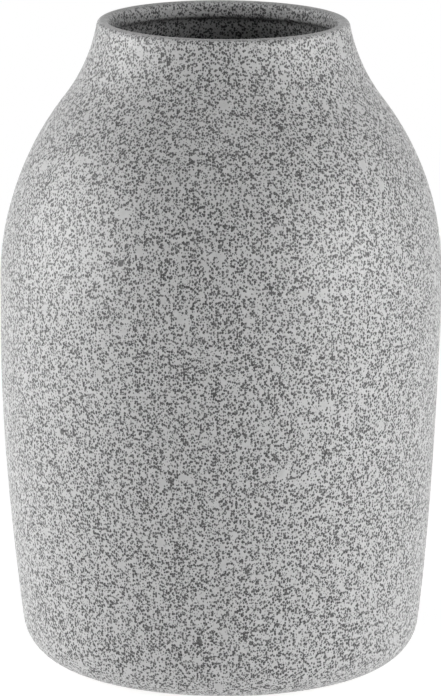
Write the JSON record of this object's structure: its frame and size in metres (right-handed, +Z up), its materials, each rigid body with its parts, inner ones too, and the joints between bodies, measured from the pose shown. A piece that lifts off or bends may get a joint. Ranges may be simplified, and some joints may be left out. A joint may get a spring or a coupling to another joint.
{
  "type": "vase",
  "caption": "Free-standing stoneware vase with a wide mouth, a short curved neck, round shoulders and a tapering side, in a grey speckled matt glaze.",
  "frame": {"origin": "on the vase's axis, on the surface that the foot pads rest on", "axes": "+Z up along the vase's axis, towards the mouth; +X and +Y level, with the pads on the diagonals between them"},
  "size_m": [0.2038, 0.2038, 0.3011],
  "materials": {
    "stoneware": "unglazed fired clay, dry and matt",
    "speckled_glaze": "satin-matt pale grey glaze with dense dark grey specks",
    "felt": "pressed wool felt"
  },
  "bodies": {
    "root": {"stoneware_body": "stoneware", "outer_glaze": "speckled_glaze", "inner_glaze": "speckled_glaze", "foot_pad_1": "felt", "foot_pad_2": "felt", "foot_pad_3": "felt", "foot_pad_4": "felt"}
  },
  "joints": []
}
